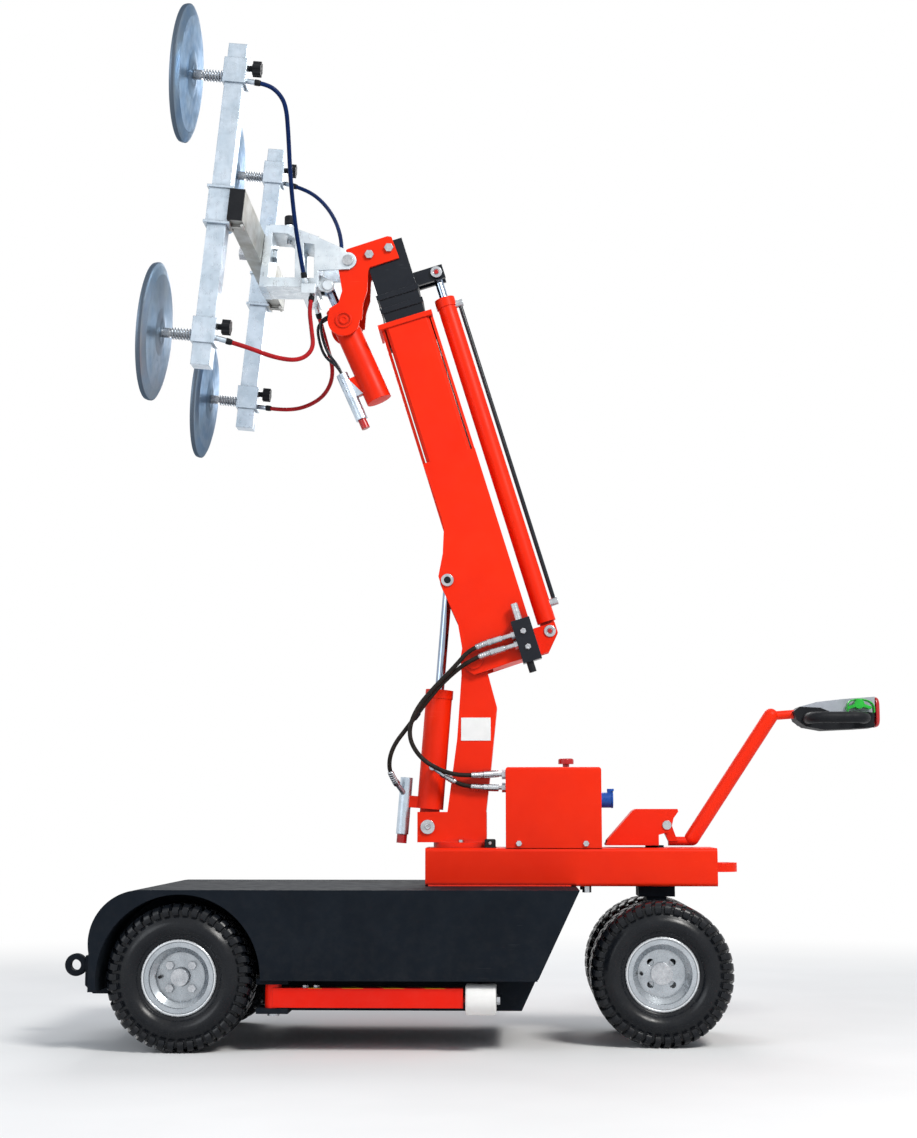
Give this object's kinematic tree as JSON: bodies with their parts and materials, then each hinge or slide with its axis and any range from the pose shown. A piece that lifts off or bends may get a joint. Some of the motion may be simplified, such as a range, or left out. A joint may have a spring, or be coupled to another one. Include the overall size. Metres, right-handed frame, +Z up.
{
  "type": "glass panel lifter",
  "caption": "Battery-driven vacuum panel lifter: telescopic boom on a wheeled chassis, tilting head and turning yoke with suction cups, tiller steering.",
  "frame": {"origin": "on the floor, under the middle of the overall box", "axes": "+Z up, +X towards the tiller, cups face -X, the left side is -Y"},
  "size_m": [2.204, 1.1098, 2.7303],
  "materials": {
    "red_paint": "gloss powder coat",
    "graphite_paint": "satin powder coat",
    "zinc_steel": "bright zinc plating",
    "silver_rim": "silver paint",
    "tyre_rubber": "moulded rubber",
    "chromed_rod": "polished chrome",
    "cup_plate": "satin metal, rubber seal",
    "spring_steel": "plated wire",
    "black_plastic": "moulded",
    "white_plastic": "moulded",
    "red_plastic": "moulded",
    "green_plastic": "moulded",
    "blue_plastic": "moulded",
    "hydraulic_hose": "rubber cover",
    "blue_hose": "smooth tube",
    "red_hose": "smooth tube"
  },
  "bodies": {
    "chassis": {"chassis_shell": "graphite_paint", "tray": "graphite_paint", "drive_axle": "graphite_paint", "power_pack": "black_plastic", "tow_eye": "graphite_paint", "main_frame": "red_paint", "column": "red_paint", "pivot_pins": "zinc_steel", "frame_bolts": "zinc_steel", "control_box": "red_paint", "charge_socket": "blue_plastic", "hose_box_high": "hydraulic_hose", "hose_box_low": "hydraulic_hose", "hose_lift_upper": "hydraulic_hose", "hose_lift_lower": "hydraulic_hose"},
    "boom": {"boom_outer": "red_paint", "telescope_barrel": "red_paint", "valve_block": "black_plastic"},
    "boom_inner": {"boom_inner": "graphite_paint", "telescope_rod": "chromed_rod", "knee_plates": "red_paint", "knee_bolts": "zinc_steel"},
    "lift_barrel": {"lift_barrel": "red_paint"},
    "lift_rod": {"lift_rod": "chromed_rod"},
    "tilt_barrel": {"tilt_barrel": "red_paint"},
    "tilt_rod": {"tilt_rod": "chromed_rod"},
    "head": {"head_frame": "zinc_steel", "vacuum_hose_top_left": "blue_hose", "vacuum_hose_top_right": "blue_hose", "vacuum_hose_bottom_left": "red_hose", "vacuum_hose_bottom_right": "red_hose"},
    "index_plunger": {"index_plunger": "black_plastic"},
    "yoke": {"yoke_beam": "zinc_steel", "cup_tubes": "zinc_steel", "cup_holders": "zinc_steel", "cup_springs": "spring_steel"},
    "steering": {"steer_fork": "graphite_paint", "tiller_bracket": "red_paint"},
    "tiller": {"tiller_tube": "red_paint", "tiller_head": "black_plastic"},
    "throttle": {"throttle": "green_plastic"},
    "belly_switch": {"belly_switch": "red_plastic"},
    "stop_button": {"stop_button": "red_plastic"},
    "charge_lid": {"charge_lid": "blue_plastic"},
    "front_wheel_left": {"front_tyre_left": "tyre_rubber", "front_rim_left": "silver_rim"},
    "front_wheel_right": {"front_tyre_right": "tyre_rubber", "front_rim_right": "silver_rim"},
    "rear_wheel_left": {"rear_tyre_left": "tyre_rubber", "rear_rim_left": "silver_rim"},
    "rear_wheel_right": {"rear_tyre_right": "tyre_rubber", "rear_rim_right": "silver_rim"},
    "outrigger_left": {"outrigger_left": "red_paint"},
    "roller_left": {"roller_left": "white_plastic"},
    "cup_top_left": {"cup_top_left": "cup_plate"},
    "cup_bottom_left": {"cup_bottom_left": "cup_plate"},
    "outrigger_right": {"outrigger_right": "red_paint"},
    "roller_right": {"roller_right": "white_plastic"},
    "cup_top_right": {"cup_top_right": "cup_plate"},
    "cup_bottom_right": {"cup_bottom_right": "cup_plate"}
  },
  "joints": [
    {"name": "boom_lift", "type": "hinge", "parent": "chassis", "child": "boom", "pos_m": [0.005, 0, 1.005], "axis": [0, 1, 0], "range_deg": [-70, 3], "deforming": ["hose_box_high", "hose_lift_upper"]},
    {"name": "telescope", "type": "slide", "parent": "boom", "child": "boom_inner", "axis": [-0.294, 0, 0.9558], "range_m": [0, 0.55]},
    {"name": "lift_cylinder", "type": "hinge", "parent": "chassis", "child": "lift_barrel", "pos_m": [-0.12, 0, 0.557], "axis": [0, 1, 0], "range_deg": [-19.5, 1], "deforming": ["hose_lift_lower", "hose_box_low"]},
    {"name": "lift_rod_slide", "type": "slide", "parent": "lift_barrel", "child": "lift_rod", "axis": [0.0792, 0, 0.9969], "range_m": [-0.195, 0.009]},
    {"name": "head_tilt", "type": "hinge", "parent": "boom_inner", "child": "head", "pos_m": [-0.348, 0, 2.132], "axis": [0, 1, 0], "range_deg": [-5, 55]},
    {"name": "tilt_cylinder", "type": "hinge", "parent": "boom_inner", "child": "tilt_barrel", "pos_m": [-0.359, 0, 1.962], "axis": [0, 1, 0], "range_deg": [-0.1, 0.15]},
    {"name": "tilt_rod_slide", "type": "slide", "parent": "tilt_barrel", "child": "tilt_rod", "axis": [-0.4061, 0, 0.9138], "range_m": [-0.008, 0.08]},
    {"name": "yoke_turn", "type": "hinge", "parent": "head", "child": "yoke", "pos_m": [-0.608, 0, 2.172], "axis": [0.9952, 0, -0.0976], "range_deg": [-90, 90], "deforming": ["vacuum_hose_top_left", "vacuum_hose_top_right", "vacuum_hose_bottom_left", "vacuum_hose_bottom_right"]},
    {"name": "index_pull", "type": "slide", "parent": "head", "child": "index_plunger", "axis": [0, 0, 1], "range_m": [0, 0.008], "stiffness_N_per_m": 1500, "springref_m": -0.01},
    {"name": "steer", "type": "hinge", "parent": "chassis", "child": "steering", "pos_m": [0.491, 0, 0.45], "axis": [0, 0, 1], "range_deg": [-60, 60]},
    {"name": "tiller_raise", "type": "hinge", "parent": "steering", "child": "tiller", "pos_m": [0.522, 0, 0.562], "axis": [0, 1, 0], "range_deg": [-35, 0]},
    {"name": "throttle_turn", "type": "hinge", "parent": "tiller", "child": "throttle", "pos_m": [1.038, 0, 0.884], "axis": [0, 1, 0], "range_deg": [-12, 12], "stiffness_Nm_per_rad": 1.5},
    {"name": "belly_press", "type": "slide", "parent": "tiller", "child": "belly_switch", "axis": [-1, 0, 0], "range_m": [0, 0.003], "stiffness_N_per_m": 1500, "springref_m": -0.004},
    {"name": "stop_press", "type": "slide", "parent": "chassis", "child": "stop_button", "axis": [0, 0, -1], "range_m": [0, 0.005], "stiffness_N_per_m": 2000, "springref_m": -0.003},
    {"name": "charge_lid_open", "type": "hinge", "parent": "chassis", "child": "charge_lid", "pos_m": [0.3795, 0, 0.656], "axis": [0, 1, 0], "range_deg": [-100, 0]},
    {"name": "front_wheel_left", "type": "hinge", "parent": "chassis", "child": "front_wheel_left", "pos_m": [-0.731, -0.275, 0.184], "axis": [0, 1, 0], "continuous": true},
    {"name": "rear_wheel_left", "type": "hinge", "parent": "steering", "child": "rear_wheel_left", "pos_m": [0.491, -0.145, 0.184], "axis": [0, 1, 0], "continuous": true},
    {"name": "outrigger_left", "type": "hinge", "parent": "chassis", "child": "outrigger_left", "pos_m": [-0.494, -0.31, 0.14], "axis": [0, 0, 1], "range_deg": [-95, 0]},
    {"name": "roller_left", "type": "hinge", "parent": "outrigger_left", "child": "roller_left", "pos_m": [0.03, -0.31, 0.132], "axis": [1, 0, 0], "continuous": true},
    {"name": "cup_top_left", "type": "slide", "parent": "yoke", "child": "cup_top_left", "axis": [0.9952, 0, -0.0976], "range_m": [0, 0.025], "stiffness_N_per_m": 2500, "springref_m": -0.012, "deforming": ["cup_springs"]},
    {"name": "cup_bottom_left", "type": "slide", "parent": "yoke", "child": "cup_bottom_left", "axis": [0.9952, 0, -0.0976], "range_m": [0, 0.025], "stiffness_N_per_m": 2500, "springref_m": -0.012, "deforming": ["cup_springs"]},
    {"name": "front_wheel_right", "type": "hinge", "parent": "chassis", "child": "front_wheel_right", "pos_m": [-0.731, 0.275, 0.184], "axis": [0, 1, 0], "continuous": true},
    {"name": "rear_wheel_right", "type": "hinge", "parent": "steering", "child": "rear_wheel_right", "pos_m": [0.491, 0.145, 0.184], "axis": [0, 1, 0], "continuous": true},
    {"name": "outrigger_right", "type": "hinge", "parent": "chassis", "child": "outrigger_right", "pos_m": [-0.494, 0.31, 0.14], "axis": [0, 0, 1], "range_deg": [0, 95]},
    {"name": "roller_right", "type": "hinge", "parent": "outrigger_right", "child": "roller_right", "pos_m": [0.03, 0.31, 0.132], "axis": [1, 0, 0], "continuous": true},
    {"name": "cup_top_right", "type": "slide", "parent": "yoke", "child": "cup_top_right", "axis": [0.9952, 0, -0.0976], "range_m": [0, 0.025], "stiffness_N_per_m": 2500, "springref_m": -0.012, "deforming": ["cup_springs"]},
    {"name": "cup_bottom_right", "type": "slide", "parent": "yoke", "child": "cup_bottom_right", "axis": [0.9952, 0, -0.0976], "range_m": [0, 0.025], "stiffness_N_per_m": 2500, "springref_m": -0.012, "deforming": ["cup_springs"]}
  ],
  "couplings": [
    {"joint": "lift_cylinder", "follows": "boom_lift", "ratio": 0.26976},
    {"joint": "lift_rod_slide", "follows": "boom_lift", "m_per_rad": 0.15374},
    {"joint": "tilt_cylinder", "follows": "head_tilt", "ratio": 0.001863},
    {"joint": "tilt_rod_slide", "follows": "head_tilt", "m_per_rad": 0.082523}
  ]
}
